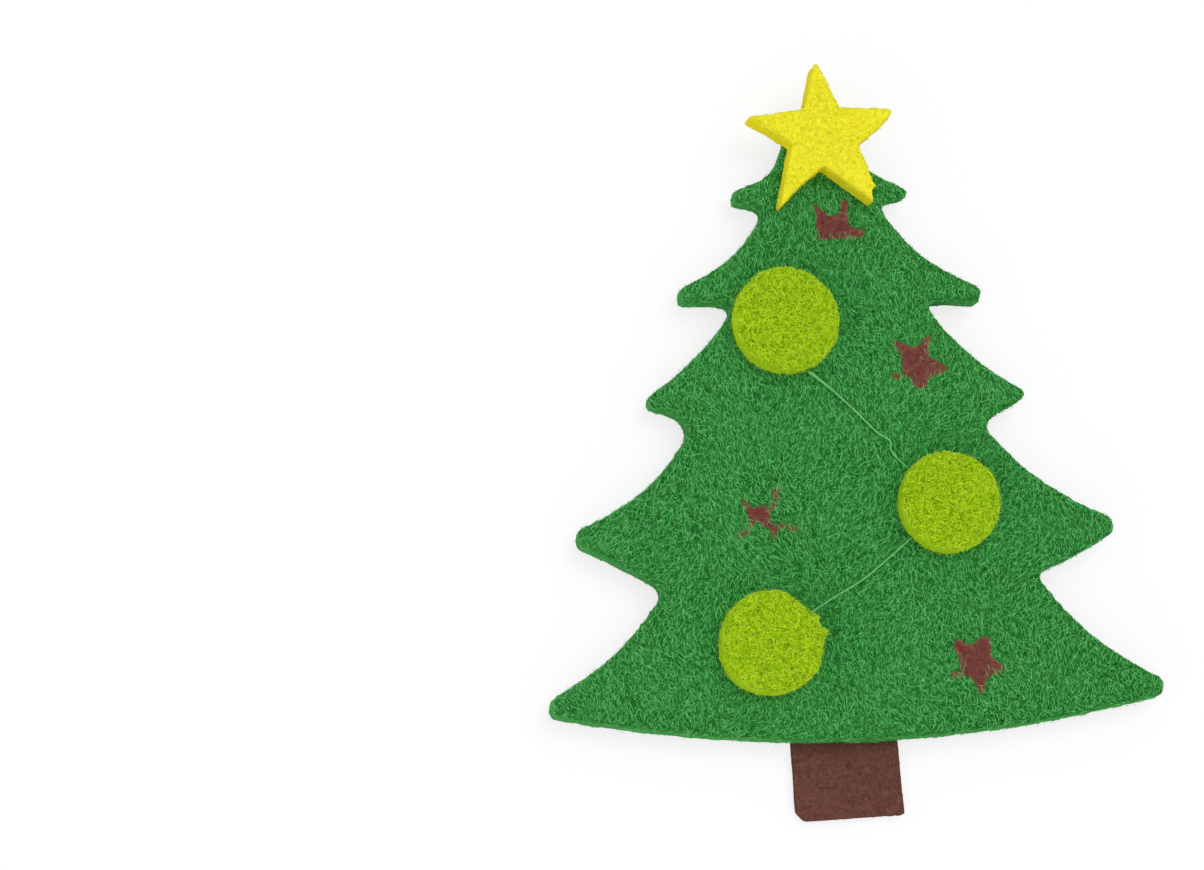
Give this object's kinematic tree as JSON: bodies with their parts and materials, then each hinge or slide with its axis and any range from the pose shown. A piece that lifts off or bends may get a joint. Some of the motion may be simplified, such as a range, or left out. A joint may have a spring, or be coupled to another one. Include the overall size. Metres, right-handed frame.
{
  "type": "felt christmas tree",
  "caption": "Flat christmas tree cut from thick green felt, with a yellow felt star on top, lime felt baubles, dark red printed stars and a brown felt trunk.",
  "frame": {"origin": "centre of the bounding box's base, in the plane that the tree lies on with its back down", "axes": "+Z out of the tree's front, +Y towards its topper star, +X to the right seen from the front"},
  "size_m": [0.0834, 0.1016, 0.0078],
  "materials": {
    "green_felt": "thick needle-punched felt, curled fibres, matt",
    "yellow_felt": "thick needle-punched felt, matt",
    "lime_felt": "thick needle-punched felt with fuzzy rims, matt",
    "brown_felt": "thin dense felt, smoother, matt",
    "ink": "dark red ink soaked into the felt, a little broken",
    "glue": "translucent hot-melt glue"
  },
  "bodies": {
    "root": {"tree_body": "green_felt", "trunk": "brown_felt", "topper_star": "yellow_felt", "bauble_upper": "lime_felt", "bauble_middle": "lime_felt", "bauble_lower": "lime_felt", "glue_pad_topper": "glue", "glue_pad_upper": "glue", "glue_pad_middle": "glue", "glue_pad_lower": "glue", "glue_strip_trunk": "glue", "glue_string_upper": "glue", "glue_string_lower": "glue", "print_star_top": "ink", "print_star_right": "ink", "print_star_left": "ink", "print_star_base": "ink"}
  },
  "joints": []
}
